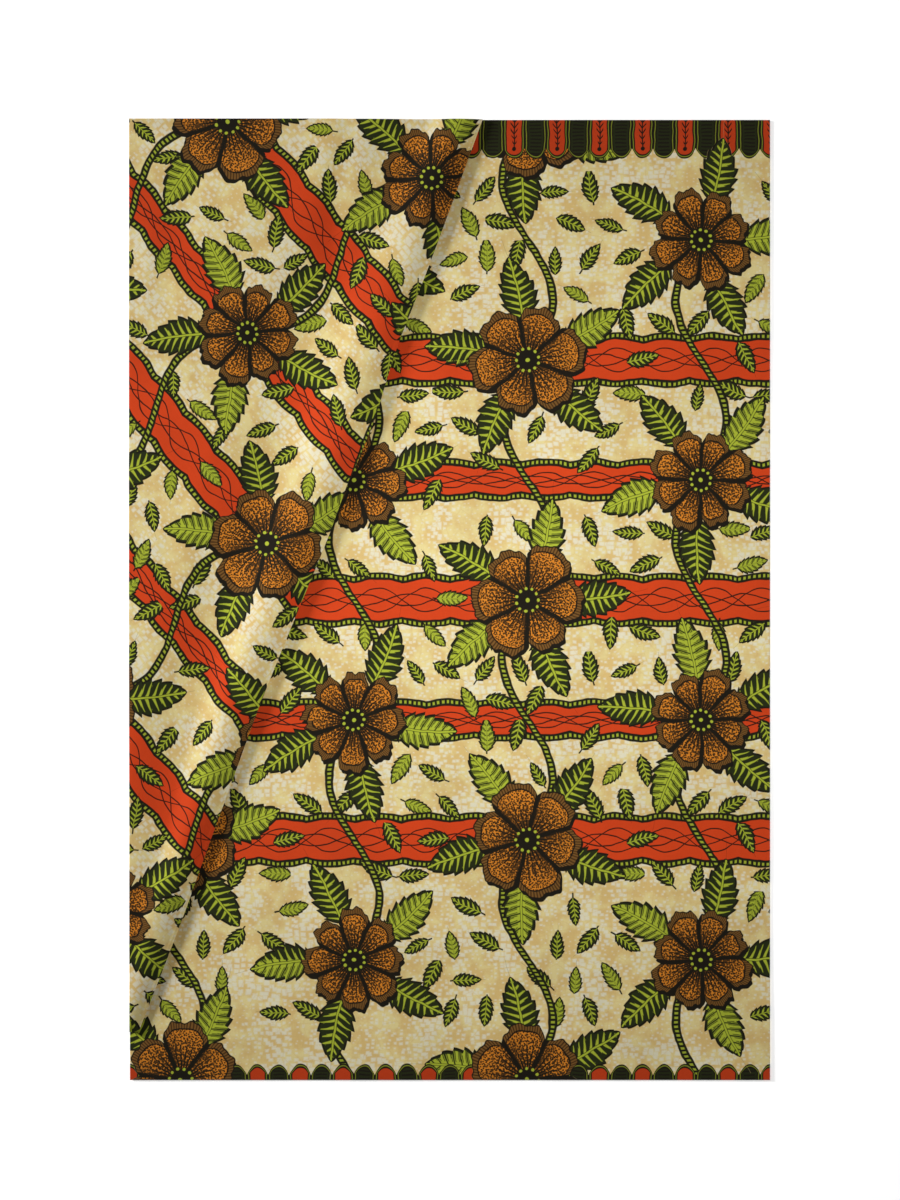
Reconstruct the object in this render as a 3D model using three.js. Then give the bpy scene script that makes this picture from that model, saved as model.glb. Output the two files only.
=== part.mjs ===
import * as THREE from 'three';

// A length of wax print cotton, laid out flat and face up from selvedge to selvedge. Towards the left it is
// pleated along a slanting line: it turns back under itself at the left edge, comes out again at a soft rolled
// crease, and lies over its own left side. The rest of the length is tucked in beneath that stretch.
//
// Millimetres. +X runs to the right along the warp, +Y across the cloth to the upper selvedge, and +Z up out of
// the cloth. The origin is the middle of the underside. "Up" in the tables counts from the lower selvedge.

// ---- The cloth as it lies ----
const SELVEDGE_TO_SELVEDGE = 1140;
const LAID_LENGTH = 760;
const PANEL_WALL = 1.2;
const PANEL_EASED_EDGE = 0.4;
const FOLD_WALL = 1.3;
const GAP = 0.3;

const LEFT = -LAID_LENGTH / 2;
const RIGHT = LAID_LENGTH / 2;
const LOWER = -SELVEDGE_TO_SELVEDGE / 2;
const UPPER = SELVEDGE_TO_SELVEDGE / 2;

// ---- The slanting crease ----
const CREASE_LEAN = THREE.MathUtils.degToRad(20.75);
const CREASE_FOOT_UP = 40;
const TIP_UP = 58;

// ---- The rolled edge of the fold-over, all round ----
const ROLL_REACH = 5;
const ROLL_SHARE = 0.2;
const RETURN_REACH = 22;
const RETURN_SHARE = 0.34;
const ROLL_STEPS = 6;
const CREASE_TOP_SHARE = 0.66;

// ---- The layers hidden under the fold-over ----
const LAYERS_FOOT_UP = 240;
const LAYERS_THICK = 3.4;
const LAYERS_THIN = 1.0;
const LAYERS_THIN_WIDTH = 40;
const LAYERS_THICK_WIDTH = 160;
const LAYERS_SET_IN = 1.2;
const LAYERS_FROM_CREASE = 45;
const LAYERS_FROM_CREASE_SHARE = 0.42;
const LAYERS_RISE = 90;
const LAYERS_FULL_WIDTH = 200;
const LAYERS_SPARE = 0.25;
const LAYERS_SHOULDER = 2;
const LAYERS_SLOPE = 2;

// The fold-over, a row for each section. waver: how far the crease swings right of its line. The ridge,
// trough and crest are heights above the floor, and each "In" is that feature's distance in from the crease.
const FOLD_SECTIONS = [
  { up: 58, waver: 1.0, ridge: 7.6, ridgeIn: 4, trough: 7.6, troughIn: 7, crest: 7.6, crestIn: 9 },
  { up: 190, waver: 2.0, ridge: 10.8, ridgeIn: 19, trough: 8.2, troughIn: 38, crest: 9.0, crestIn: 54 },
  { up: 260, waver: 4.0, ridge: 12.0, ridgeIn: 25, trough: 7.8, troughIn: 50, crest: 10.4, crestIn: 80 },
  { up: 340, waver: 6.0, ridge: 13.0, ridgeIn: 29, trough: 7.4, troughIn: 60, crest: 12.0, crestIn: 108 },
  { up: 440, waver: 3.0, ridge: 14.2, ridgeIn: 32, trough: 7.0, troughIn: 70, crest: 13.6, crestIn: 136 },
  { up: 515, waver: 7.0, ridge: 14.9, ridgeIn: 33, trough: 6.8, troughIn: 78, crest: 14.6, crestIn: 152 },
  { up: 640, waver: 11.5, ridge: 15.4, ridgeIn: 34, trough: 6.8, troughIn: 86, crest: 15.0, crestIn: 164 },
  { up: 700, waver: 8.5, ridge: 15.2, ridgeIn: 32, trough: 6.9, troughIn: 88, crest: 14.8, crestIn: 166 },
  { up: 780, waver: 12.0, ridge: 15.2, ridgeIn: 34, trough: 7.1, troughIn: 94, crest: 14.8, crestIn: 178 },
  { up: 870, waver: 6.5, ridge: 14.6, ridgeIn: 36, trough: 7.4, troughIn: 98, crest: 14.6, crestIn: 186 },
  { up: 950, waver: 7.0, ridge: 14.0, ridgeIn: 35, trough: 7.6, troughIn: 92, crest: 14.6, crestIn: 180 },
  { up: 1040, waver: 4.0, ridge: 13.4, ridgeIn: 31, trough: 7.6, troughIn: 78, crest: 14.4, crestIn: 168 },
  { up: 1140, waver: 0.0, ridge: 13.0, ridgeIn: 29, trough: 7.8, troughIn: 62, crest: 14.0, crestIn: 160 },
];

// Soft swells of the fold-over's left side, and of the flat cloth: middle, half-sizes along and across the
// swell's own line, the turn of that line from +Y towards +X in degrees, and the height (below zero a hollow).
const FOLD_SWELLS = [
  { x: -352, up: 400, along: 70, across: 26, turn: 8, height: -1.1 },
  { x: -300, up: 980, along: 120, across: 34, turn: 12, height: 0.9 },
  { x: -345, up: 760, along: 90, across: 30, turn: 20, height: 0.8 },
  { x: -250, up: 820, along: 100, across: 22, turn: 24, height: -0.7 },
];
const PANEL_SWELLS = [
  { x: 10, up: 900, along: 110, across: 26, turn: 24, height: 0.7 },
  { x: 150, up: 640, along: 150, across: 36, turn: 6, height: 0.8 },
  { x: -40, up: 300, along: 130, across: 34, turn: 30, height: 0.7 },
  { x: 290, up: 860, along: 120, across: 30, turn: -10, height: 0.6 },
  { x: 250, up: 240, along: 140, across: 38, turn: 14, height: 0.8 },
  { x: -220, up: 120, along: 110, across: 26, turn: 40, height: 0.6 },
];
const PANEL_CLEAR_OF_CREASE = 30;
const PANEL_SIDE_SHARES = [0.7, 0.3];

// Where the columns of the fold-over's grid stand, as distances in from the crease on its widest section.
const FOLD_COLUMNS = [0, 6, 14, 24, 36, 48, 60, 74, 88, 104, 122, 142, 166, 194, 226, 262, 300, 340, 380];
const FOLD_ROWS = 30;
const LAYER_COLUMNS = 21;
const LAYER_ROWS = 28;
const PANEL_COLUMNS = 16;
const PANEL_ROWS = 24;

// The edge of the hidden layers from top to bottom: three rounded folds of cloth, one on another. height: share
// of the stack. in: how far that point stands back from the outermost fold.
const LAYER_EDGE = [
  { height: 1.0, in: 0.8 },
  { height: 0.84, in: 0.0 },
  { height: 0.67, in: 1.0 },
  { height: 0.5, in: 0.3 },
  { height: 0.33, in: 1.0 },
  { height: 0.17, in: 0.0 },
];
const LAYER_FOOT_IN = 0.7;

const { lerp, smoothstep, clamp } = THREE.MathUtils;

// ---- Reading a table: a smooth curve through one column's values ----
function readTable(rows, column, up) {
  const last = rows.length - 1;
  const at = clamp(up, rows[0].up, rows[last].up);
  let i = 0;
  while (i < last - 1 && rows[i + 1].up < at) {
    i += 1;
  }
  const slope = (k) => {
    const before = rows[Math.max(k - 1, 0)];
    const after = rows[Math.min(k + 1, last)];
    return (after[column] - before[column]) / (after.up - before.up);
  };
  const span = rows[i + 1].up - rows[i].up;
  const t = (at - rows[i].up) / span;
  const rise = rows[i + 1][column] - rows[i][column];
  const bend = t * (1 - t) * ((1 - t) * (slope(i) * span - rise) - t * (slope(i + 1) * span - rise));
  return rows[i][column] + rise * t + bend;
}

function swellHeight(swells, x, y) {
  let height = 0;
  for (const swell of swells) {
    const turn = THREE.MathUtils.degToRad(swell.turn);
    const dx = x - swell.x;
    const dy = y - (LOWER + swell.up);
    const along = (dy * Math.cos(turn) + dx * Math.sin(turn)) / swell.along;
    const across = (dx * Math.cos(turn) - dy * Math.sin(turn)) / swell.across;
    height += swell.height * Math.exp(-along * along - across * across);
  }
  return height;
}

// ---- The crease and the heights of the fold-over ----
function creaseX(y) {
  const up = y - LOWER;
  return LEFT + (up - CREASE_FOOT_UP) * Math.tan(CREASE_LEAN) + readTable(FOLD_SECTIONS, 'waver', up);
}

function foldWidth(y) {
  return creaseX(y) - LEFT;
}

function inFromCrease(x, y) {
  return (creaseX(y) - x) * Math.cos(CREASE_LEAN);
}

function swing(from, to, t) {
  return lerp(from, to, smoothstep(t, 0, 1));
}

// Height of the fold-over's face above the floor.
function foldHeight(x, y) {
  const up = y - LOWER;
  const read = (column) => readTable(FOLD_SECTIONS, column, up);
  const inward = Math.max(inFromCrease(x, y), 0);
  const ridge = read('ridge');
  const ridgeIn = read('ridgeIn');
  const troughIn = read('troughIn');
  const crestIn = read('crestIn');
  let height = read('crest');
  if (inward < ridgeIn) {
    height = lerp(CREASE_TOP_SHARE * ridge, ridge, Math.sin((Math.PI / 2) * (inward / ridgeIn)));
  } else if (inward < troughIn) {
    height = swing(ridge, read('trough'), (inward - ridgeIn) / (troughIn - ridgeIn));
  } else if (inward < crestIn) {
    height = swing(read('trough'), read('crest'), (inward - troughIn) / (crestIn - troughIn));
  }
  return height + swellHeight(FOLD_SWELLS, x, y);
}

// Height of the fold-over's return above the floor: on the flat cloth at the crease, on the layers further in.
function returnHeight(x, y) {
  const width = foldWidth(y);
  const narrow = Math.min(1, width / LAYERS_FULL_WIDTH);
  const layers = lerp(LAYERS_THIN, LAYERS_THICK, smoothstep(width, LAYERS_THIN_WIDTH, LAYERS_THICK_WIDTH));
  const rise = smoothstep(inFromCrease(x, y), ROLL_REACH * narrow, (ROLL_REACH + LAYERS_RISE) * narrow);
  return PANEL_WALL + GAP + layers * rise;
}

// ---- A closed body of two grids, joined round their edge by loops of points ----
function closedBody(us, vs, face, loops, back) {
  const points = [];
  const triangles = [];
  const addPoint = (point) => points.push(...point) / 3 - 1;
  const addGrid = (place) => vs.map((v) => us.map((u) => addPoint(place(u, v))));
  const faceGrid = addGrid(face);
  const backGrid = addGrid(back);

  for (let j = 0; j < vs.length - 1; j += 1) {
    for (let i = 0; i < us.length - 1; i += 1) {
      const f = [faceGrid[j][i], faceGrid[j][i + 1], faceGrid[j + 1][i + 1], faceGrid[j + 1][i]];
      const b = [backGrid[j][i], backGrid[j][i + 1], backGrid[j + 1][i + 1], backGrid[j + 1][i]];
      triangles.push(f[0], f[1], f[2], f[0], f[2], f[3]);
      triangles.push(b[0], b[2], b[1], b[0], b[3], b[2]);
    }
  }

  const edge = [];
  for (let i = 0; i < us.length - 1; i += 1) {
    edge.push([i, 0]);
  }
  for (let j = 0; j < vs.length - 1; j += 1) {
    edge.push([us.length - 1, j]);
  }
  for (let i = us.length - 1; i > 0; i -= 1) {
    edge.push([i, vs.length - 1]);
  }
  for (let j = vs.length - 1; j > 0; j -= 1) {
    edge.push([0, j]);
  }

  const rings = [edge.map(([i, j]) => faceGrid[j][i])];
  for (const loop of loops) {
    rings.push(edge.map(([i, j]) => addPoint(loop(us[i], vs[j]))));
  }
  rings.push(edge.map(([i, j]) => backGrid[j][i]));
  for (let k = 0; k < rings.length - 1; k += 1) {
    for (let n = 0; n < edge.length; n += 1) {
      const m = (n + 1) % edge.length;
      triangles.push(rings[k][n], rings[k + 1][n], rings[k + 1][m]);
      triangles.push(rings[k][n], rings[k + 1][m], rings[k][m]);
    }
  }

  const geometry = new THREE.BufferGeometry();
  geometry.setAttribute('position', new THREE.Float32BufferAttribute(points, 3));
  geometry.setIndex(triangles);
  geometry.computeVertexNormals();
  return geometry;
}

function evenSteps(count) {
  return Array.from({ length: count }, (_, i) => i / (count - 1));
}

// ---- Flat panel: the stretch that lies on the floor, selvedge to selvedge ----
function flatPanelGeometry() {
  const place = (u, v, inset) => [
    lerp(LEFT + inset, RIGHT - inset, u),
    lerp(LOWER + inset, UPPER - inset, v),
  ];
  const faceHeight = (x, y) => {
    const clear = smoothstep(x - creaseX(y), PANEL_CLEAR_OF_CREASE, 2 * PANEL_CLEAR_OF_CREASE);
    return PANEL_WALL + clear * swellHeight(PANEL_SWELLS, x, y);
  };
  const face = (u, v) => {
    const [x, y] = place(u, v, PANEL_EASED_EDGE);
    return [x, y, faceHeight(x, y)];
  };
  const side = (share) => (u, v) => {
    const [x, y] = place(u, v, 0);
    return [x, y, share * faceHeight(x, y)];
  };
  const back = (u, v) => [...place(u, v, PANEL_EASED_EDGE), 0];
  const sides = PANEL_SIDE_SHARES.map(side);
  return closedBody(evenSteps(PANEL_COLUMNS), evenSteps(PANEL_ROWS), face, sides, back);
}

// ---- Fold-over: face, rolled edge and hidden return, one wall ----
function foldOverGeometry() {
  const foot = LOWER + TIP_UP;
  const rollAt = (y) => Math.min(ROLL_REACH, ROLL_SHARE * foldWidth(y));
  const returnAt = (y) => Math.min(RETURN_REACH, RETURN_SHARE * foldWidth(y));
  const place = (u, v, reach) => {
    const straightY = lerp(foot, UPPER, v);
    const y = lerp(foot + reach(foot), UPPER - reach(UPPER), v);
    const inset = reach(straightY);
    return [lerp(LEFT + inset, creaseX(y) - inset / Math.cos(CREASE_LEAN), u), y];
  };
  const face = (lift) => (u, v) => {
    const [x, y] = place(u, v, rollAt);
    return [x, y, foldHeight(x, y) + lift];
  };
  // A point of the roll. turn: 0 on the face, half a turn on the return. wall: 0 outside, the wall inside.
  const roll = (turn, wall) => (u, v) => {
    const reach = (y) => wall + (rollAt(y) - wall) * (1 - Math.sin(turn));
    const [faceX, faceY] = place(u, v, rollAt);
    const [x, y] = place(u, v, reach);
    const top = foldHeight(faceX, faceY) - wall;
    const bottom = returnHeight(faceX, faceY) + wall;
    return [x, y, lerp(bottom, top, (1 + Math.cos(turn)) / 2)];
  };
  const returnEdge = (wall) => (u, v) => {
    const [x, y] = place(u, v, returnAt);
    return [x, y, returnHeight(x, y) + wall];
  };
  const turns = evenSteps(ROLL_STEPS + 1).slice(1).map((share) => share * Math.PI);
  const loops = [
    ...turns.map((turn) => roll(turn, 0)),
    returnEdge(0),
    returnEdge(FOLD_WALL),
    ...turns.toReversed().map((turn) => roll(turn, FOLD_WALL)),
  ];
  const widest = FOLD_COLUMNS.at(-1);
  const us = FOLD_COLUMNS.map((inward) => 1 - inward / widest).toReversed();
  return closedBody(us, evenSteps(FOLD_ROWS), face(0), loops, face(-FOLD_WALL));
}

// ---- Under folds: the hidden layers as one rounded solid, with three folds showing at its edges ----
function underFoldsGeometry() {
  const foot = LOWER + LAYERS_FOOT_UP;
  const top = UPPER - LAYERS_SET_IN;
  const left = LEFT + LAYERS_SET_IN;
  const rightAt = (y) => {
    const fromCrease = Math.min(LAYERS_FROM_CREASE, LAYERS_FROM_CREASE_SHARE * foldWidth(y));
    return creaseX(y) - fromCrease / Math.cos(CREASE_LEAN);
  };
  // open: the inset at the two edges that show, left and top. shut: the inset at the two that don't.
  const place = (u, v, open, shut) => {
    const y = lerp(foot + shut, top - open, v);
    return [lerp(left + open, rightAt(y) - shut, u), y];
  };
  const underFace = (x, y) => foldHeight(x, y) - FOLD_WALL - GAP - LAYERS_SPARE;
  const underReturn = (x, y) => returnHeight(x, y) - GAP - LAYERS_SPARE;
  const floor = PANEL_WALL + GAP;
  const shoulderIn = RETURN_REACH + LAYERS_SHOULDER;
  const face = (u, v) => {
    const [x, y] = place(u, v, shoulderIn + LAYERS_SLOPE, LAYERS_SHOULDER + LAYERS_SLOPE);
    return [x, y, underFace(x, y)];
  };
  const shoulder = (u, v) => {
    const [x, y] = place(u, v, shoulderIn, LAYERS_SHOULDER);
    return [x, y, underReturn(x, y)];
  };
  const edges = LAYER_EDGE.map((row) => (u, v) => {
    const [x, y] = place(u, v, row.in, row.in);
    return [x, y, lerp(floor, underReturn(x, y), row.height)];
  });
  const back = (u, v) => [...place(u, v, LAYER_FOOT_IN, LAYER_FOOT_IN), floor];
  return closedBody(evenSteps(LAYER_COLUMNS), evenSteps(LAYER_ROWS), face, [shoulder, ...edges], back);
}

// ---- Finishes, and the part ----
const printedFace = new THREE.MeshStandardMaterial({ color: '#d3b98c', roughness: 0.82, metalness: 0 });
const foldedFace = new THREE.MeshStandardMaterial({ color: '#c8763c', roughness: 0.82, metalness: 0 });
const innerLayers = new THREE.MeshStandardMaterial({ color: '#b79f74', roughness: 0.88, metalness: 0 });

function named(name, geometry, material) {
  const mesh = new THREE.Mesh(geometry, material);
  mesh.name = name;
  return mesh;
}

const waxPrintCloth = new THREE.Group();
waxPrintCloth.add(named('flat_panel', flatPanelGeometry(), printedFace));
waxPrintCloth.add(named('fold_over', foldOverGeometry(), foldedFace));
waxPrintCloth.add(named('under_folds', underFoldsGeometry(), innerLayers));

export default waxPrintCloth;
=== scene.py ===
import math

import bpy
import numpy as np
from bpy.props import FloatProperty, FloatVectorProperty, PointerProperty
from bpy.types import Operator, Panel, PropertyGroup
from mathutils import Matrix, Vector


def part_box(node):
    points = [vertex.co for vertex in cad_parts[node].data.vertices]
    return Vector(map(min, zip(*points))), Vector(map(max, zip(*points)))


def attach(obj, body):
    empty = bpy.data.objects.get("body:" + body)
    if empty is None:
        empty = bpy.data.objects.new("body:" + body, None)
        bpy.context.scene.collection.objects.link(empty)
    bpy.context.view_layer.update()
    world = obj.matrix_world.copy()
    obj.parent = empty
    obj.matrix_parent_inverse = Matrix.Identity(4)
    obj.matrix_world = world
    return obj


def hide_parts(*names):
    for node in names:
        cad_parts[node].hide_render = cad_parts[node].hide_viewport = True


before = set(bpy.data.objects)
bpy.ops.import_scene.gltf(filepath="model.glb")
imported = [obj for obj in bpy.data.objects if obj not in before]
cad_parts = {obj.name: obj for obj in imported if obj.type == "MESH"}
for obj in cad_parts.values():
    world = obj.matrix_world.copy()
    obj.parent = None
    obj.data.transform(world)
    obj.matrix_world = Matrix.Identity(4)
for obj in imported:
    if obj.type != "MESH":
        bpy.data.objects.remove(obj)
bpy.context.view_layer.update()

bl_info = {
    "name": "Folded Wax Print Cloth",
    "version": (1, 0, 0),
    "blender": (4, 5, 0),
    "location": "View3D > Sidebar > Wax Print Cloth",
    "description": "Dresses a laid-out length of wax print cotton, its fold-over and its tucked layers",
    "category": "Object",
}

MM = 0.001
TAU = 2 * math.pi

# ---- The cloth as it lies, in millimetres ----
PANEL_LOW, PANEL_HIGH = (np.array(corner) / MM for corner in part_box("flat_panel"))
LEFT, LOWER = PANEL_LOW[:2]
RIGHT, UPPER = PANEL_HIGH[:2]
PANEL_TOP = 1.2
COTTON = 0.7
FOLD_WALL = 1.3
PIECE_GAP = 0.3
CREASE_LEAN = math.radians(20.75)
FOLD_PRINT_TURN = math.radians(50.0)
FOLD_PRINT_RISE = 21.0
CREASE_FOOT_UP = 40.0
TIP_UP = 58.0
ACROSS_CREASE = np.array([math.cos(CREASE_LEAN), -math.sin(CREASE_LEAN)])

# The fold-over, a row for each section: how far the crease swings right of its line, the heights above the
# floor of its ridge, trough and crest, and each one's distance in from the crease.
FOLD_COLUMNS = ("up", "waver", "ridge", "ridge_in", "trough", "trough_in", "crest", "crest_in")
FOLD_SECTIONS = (
    (58, 4.0, 9.4, 15, 9.4, 18, 9.4, 20),
    (190, 5.0, 12.4, 34, 11.0, 49, 11.0, 60),
    (260, 3.5, 12.2, 28, 7.8, 50, 10.4, 80),
    (340, 2.5, 13.0, 29, 7.4, 60, 12.0, 108),
    (440, 1.0, 14.2, 33, 7.0, 70, 13.6, 136),
    (515, 2.5, 14.9, 36, 6.8, 79, 14.6, 152),
    (640, 6.5, 15.2, 36, 6.8, 87, 15.0, 164),
    (700, 6.0, 15.2, 34, 6.9, 89, 14.8, 166),
    (780, 8.5, 15.2, 35, 7.1, 94, 14.8, 178),
    (870, 3.0, 14.6, 36, 7.4, 98, 14.6, 186),
    (950, 4.0, 14.0, 35, 7.6, 92, 14.6, 180),
    (1040, 3.5, 13.4, 31, 7.6, 78, 14.4, 168),
    (1140, 2.0, 13.0, 30, 7.8, 62, 14.0, 160),
)

# The roll: its top's height at the crease as a share of the ridge's, its reach, the most that this may be as
# a share of the fold's width, and how much of it is left at the other edges. Then the return's reach.
CREASE_TOP_SHARE = 0.44
ROLL_REACH, ROLL_SHARE = 5.0, 0.2
EDGE_ROLL_SHARE = 0.1
RETURN_REACH, RETURN_SHARE = 22.0, 0.34

# The hidden layers: how thick they are where the fold is narrow and where it is wide, the slope that leads
# up to them, where they start and end, how their edge is rounded, and the room that they leave round them.
LAYERS_THIN, LAYERS_THICK = 1.0, 3.4
LAYERS_THIN_WIDTH, LAYERS_THICK_WIDTH = 40.0, 160.0
LAYERS_RISE, LAYERS_FULL_WIDTH = 90.0, 200.0
LAYERS_FOOT_UP = 240.0
LAYERS_SET_IN = 1.2
LAYERS_FROM_CREASE, LAYERS_FROM_CREASE_SHARE = 45.0, 0.42
LAYERS_SHOULDER, LAYERS_SLOPE = 2.0, 2.0
LAYERS_SPARE = 0.55
LAYER_SET_IN, LAYER_ROUNDING = 0.9, 0.8
LAYER_WAVERS = ((0.8, 120, 20), (0.4, 31, 30))
LAYER_PRINT_SHIFT = (-2.0, 3.0)

# The unevenness of hand-laid cloth, as in LAYER_WAVERS: its height, the size of its rises, and the seed of
# its draws. The flat cloth's rim also has a width over which it lifts.
FACE_UNEVEN, FACE_UNEVEN_SIZE, FACE_SEED = 0.22, 70, 5
PANEL_UNEVEN, PANEL_UNEVEN_SIZE, PANEL_SEED = 0.2, 85, 3
RIM_LIFT, RIM_WIDTH, RIM_UNEVEN_SIZE, RIM_SEED = 0.4, 26, 260, 11
UNEVEN_WAVES, WAVE_STRETCH = 9, (0.6, 1.7)

# Where the small creases have died away and where they are full: in from the crease, from the left edge,
# up from the tip, and on the flat cloth right of the crease.
CREASE_CLEAR, LEFT_CLEAR, TIP_CLEAR = (4, 22), (2, 20), (TIP_UP + 10, TIP_UP + 120)
PANEL_CLEAR, BELOW_TIP = (14, 60), (TIP_UP - 30, TIP_UP)
# A crease bows by this share of its length, and fades in and out between these shares of it.
CREASE_BOW = 0.06
CREASE_STARTS, CREASE_ENDS = (-0.15, 0.3), (0.7, 1.15)

# The meshes: columns and rows of each grid, and its narrow cell at a cloth's edge as a share of the grid.
FRONT_GRID, FOLD_GRID, TUCKED_GRID = (130, 190), (100, 190), (40, 150)
EDGE_CELL = 0.0008
EASED_EDGE = 0.3

# Soft swells: middle x and up, half-sizes along and across, the turn from +Y towards +X in degrees, and
# the height.
FOLD_SWELLS = (
    (-352, 400, 70, 26, 8, -1.1),
    (-300, 980, 120, 34, 12, 0.9),
    (-345, 760, 90, 30, 20, 0.8),
    (-250, 820, 100, 22, 24, -0.7),
)
PANEL_SWELLS = (
    (10, 900, 110, 26, 24, 0.7),
    (150, 640, 150, 36, 6, 0.8),
    (-40, 300, 130, 34, 30, 0.7),
    (290, 860, 120, 30, -10, 0.6),
    (250, 240, 140, 38, 14, 0.8),
    (-220, 120, 110, 26, 40, 0.6),
)
# Creases, listed one by one as soft troughs and ridges: start x and up, end x and up, half-width, height.
FOLD_CREASES = (
    (-80, 1260, -136, 900, 17, -1.5),
    (-118, 905, -142, 836, 9, -0.35),
    (-214, 1128, -236, 1010, 15, 0.6),
    (-292, 1132, -322, 930, 22, -0.7),
    (-196, 884, -232, 770, 12, 0.45),
    (-262, 742, -300, 620, 16, -0.55),
    (-330, 690, -356, 560, 13, 0.5),
    (-222, 640, -262, 530, 10, 0.4),
    (-300, 520, -328, 430, 12, -0.45),
    (-58, 1010, -84, 940, 8, 0.35),
    (-176, 700, -196, 636, 7, -0.3),
    (-338, 1040, -362, 880, 14, 0.55),
)
PANEL_CREASES = (
    (64, 1080, 30, 930, 12, -0.35),
    (26, 900, -12, 800, 10, 0.4),
    (210, 1120, 196, 960, 16, -0.4),
    (330, 1060, 352, 900, 14, 0.4),
    (118, 770, 180, 700, 11, 0.35),
    (-60, 690, -8, 560, 13, -0.4),
    (300, 690, 344, 560, 15, -0.4),
    (70, 560, 30, 430, 12, 0.35),
    (-130, 440, -60, 330, 12, 0.4),
    (180, 440, 250, 330, 14, -0.4),
    (340, 360, 320, 200, 13, 0.4),
    (-240, 260, -160, 140, 11, -0.35),
    (30, 230, 90, 90, 14, 0.4),
    (-320, 130, -250, 30, 12, 0.35),
    (200, 150, 190, 20, 12, -0.35),
)

# ---- The print, in millimetres on the flat cloth ----
COLUMN_PITCH, ROW_PITCH = 206.0, 285.0
COLUMN_START = 92.0
BLOSSOM_RADIUS, BLOSSOM_LESS = 67.0, 7.0
BLOSSOM_PETALS, BLOSSOM_MORE_PETALS = 6.0, 2.0
TURN_ALONG, TURN_ACROSS, OTHER_KIND_TURN = 1.9, 0.83, 0.4
PETAL_NOTCH, PETAL_UNEVEN = 0.23, 0.05
RIM_DEPTH, EYE_SHARE, EYE_RING_SHARE, EYE_DOTS = 8.5, 0.17, 0.2, 11.0
OUTLINE = 1.6
LEAF_RING_START, LEAF_LENGTH, LEAF_WIDTH = 46.0, 78.0, 48.0
LEAF_RING_COUNT, LEAF_BOW = 5.0, 9.0
LEAF_TEETH, TOOTH_DEPTH = 6.5, 0.2
SMALL_PITCH_ALONG, SMALL_PITCH_ACROSS = 42.0, ROW_PITCH / 7
SMALL_LENGTH, SMALL_WIDTH, SMALL_JITTER = 41.0, 22.0, 8.0
BLOSSOM_CLEAR, LEAF_CLEAR, RIBBON_CLEAR, BORDER_CLEAR = 5.0, 1.0, 3.0, 12.0
LIME_FROM, ON_RIBBON_FROM = 0.8, 0.6
RIBBON_PITCH, RIBBON_HALF, RIBBON_LESS = ROW_PITCH / 2, 21.0, 7.0
SCALLOP, SCALLOP_PITCH = 4.0, 57.0
CHAIN_HALF, BEAD_PITCH = 4.3, 5.6
RIBBONS_END = 350.0
STEM_SWING = 30.0
PRINT_WOBBLE = 3.0
TAB_PITCH = 25.4
UPPER_TAB_VALLEY, UPPER_TAB_TIP = 34.0, 46.0
LOWER_TAB_VALLEY, LOWER_TAB_TIP = 6.0, 19.0
BORDER_HELD_BACK = 6.0
PRINT_LAYER = "print_place"
THREAD_BUMP, THREAD_RELIEF = 0.35, 0.00012
SHEEN_ROUGHNESS, SPECULAR_LEVEL = 0.4, 0.15

# Half-widths of the edges between colours: as the dye runs, barely soft, and hard.
SOFT, CRISP, HARD = 0.35, 0.01, 0.001

# ---- The stage, in metres: each light's name, power's setting, size, place and where it looks ----
FLOOR_SIZE, FLOOR_DROP = 160, 0.0004
FLOOR_TONE, FLOOR_ROUGHNESS, FLOOR_GLOW = 0.92, 0.9, 0.5
LIGHTS = (
    ("key_light", "key_power", 1.0, (-4.46, 1.46, 1.48), (0, 0, 0)),
    ("middle_glow", "glow_power", 0.4, (0.05, 0.03, 0.6), (0.05, 0.03, 0)),
    ("rim_light", "rim_power", 0.8, (3.8, -0.6, 0.82), (0, 0, 0)),
)


def srgb(red, green, blue):
    """A colour given as 0 to 255 on a screen, as the light it sends back."""
    shares = (c / 255 for c in (red, green, blue))
    return tuple(c / 12.92 if c <= 0.04045 else ((c + 0.055) / 1.055) ** 2.4 for c in shares)


# ---- Settings that a user would change ----
def colour(name, description, *screen):
    return FloatVectorProperty(
        name=name, description=description, subtype="COLOR", size=3, min=0, max=1, default=srgb(*screen)
    )


def amount(name, description, default, **limits):
    return FloatProperty(name=name, description=description, default=default, **limits)


def socket_label(key):
    """The label of a socket, from the name of a setting or an argument."""
    return key.replace("_", " ").title()


class ClothColours(PropertyGroup):
    """The dyes of the print."""

    ground: colour("Ground", "Cream between the motifs", 221, 204, 142)
    blotch: colour("Blotch", "Yellow-peach clouds in the ground", 210, 178, 112)
    bubble: colour("Bubble", "Pale spots where the wax held", 221, 217, 195)
    ribbon: colour("Ribbon", "Red-orange bands", 203, 63, 18)
    line: colour("Line", "Dark outlines and veins", 22, 17, 5)
    petal: colour("Petal", "Orange stipple of the blossoms", 208, 126, 34)
    petal_shade: colour("Petal shade", "Brown under the stipple", 68, 42, 10)
    petal_rim: colour("Petal rim", "Olive-brown edge of the blossoms", 116, 80, 34)
    leaf_light: colour("Leaf light", "Lime streaks of the leaves", 166, 177, 50)
    leaf_dark: colour("Leaf dark", "Dark green of the leaves", 34, 40, 10)


class ClothFinish(PropertyGroup):
    """How the cotton takes the light."""

    roughness: amount("Roughness", "Of the printed cotton", 0.8, min=0, max=1, subtype="FACTOR")
    sheen: amount("Sheen", "Soft shine at a low angle", 0.05, min=0, max=1, subtype="FACTOR")
    thread: amount("Thread pitch", "From one thread to the next", 0.0005, min=0.0001, unit="LENGTH")


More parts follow.
